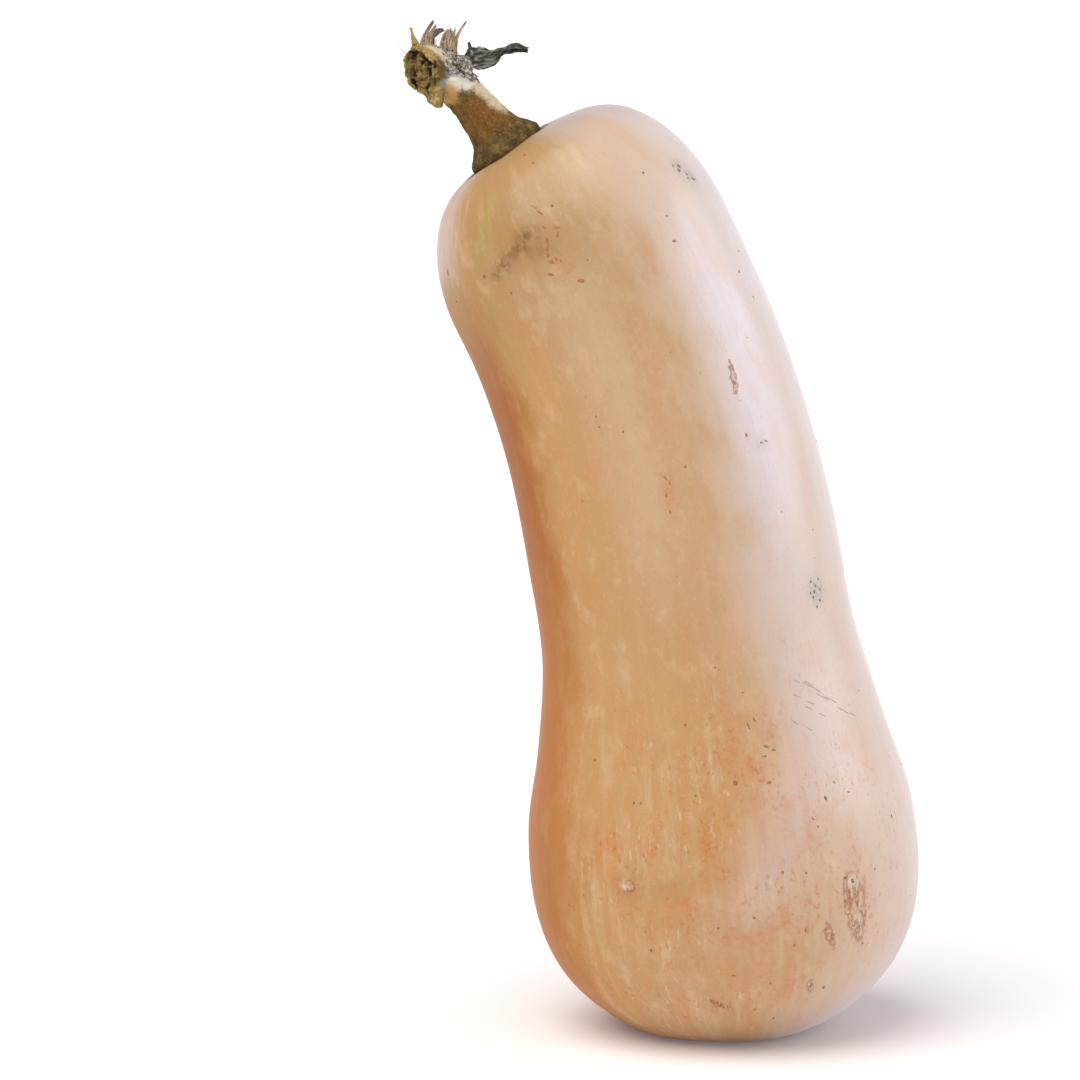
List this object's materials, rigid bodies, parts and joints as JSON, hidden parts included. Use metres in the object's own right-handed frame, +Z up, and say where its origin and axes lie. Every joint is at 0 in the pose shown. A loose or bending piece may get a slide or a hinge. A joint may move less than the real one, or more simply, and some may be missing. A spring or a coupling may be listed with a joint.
{
  "type": "butternut squash",
  "caption": "Whole butternut squash standing on its blossom end, its neck leaning to one side, with its dry stem, a cut knot of vine, torn bark and a shrivelled leaf.",
  "frame": {"origin": "middle of the flat spot on the blossom end that the squash stands on", "axes": "+Z up towards the stem, the neck leans towards -X, the cut face of the knot looks towards -X and -Y"},
  "size_m": [0.1552, 0.1175, 0.3038],
  "materials": {
    "rind": "satin, waxy",
    "dry_stem": "rough, dry and corky",
    "torn_bark": "fibrous, dull",
    "dried_leaf": "dry and brittle"
  },
  "bodies": {
    "root": {"fruit": "rind", "stem": "dry_stem", "torn_bark": "torn_bark", "dried_leaf": "dried_leaf"}
  },
  "joints": []
}
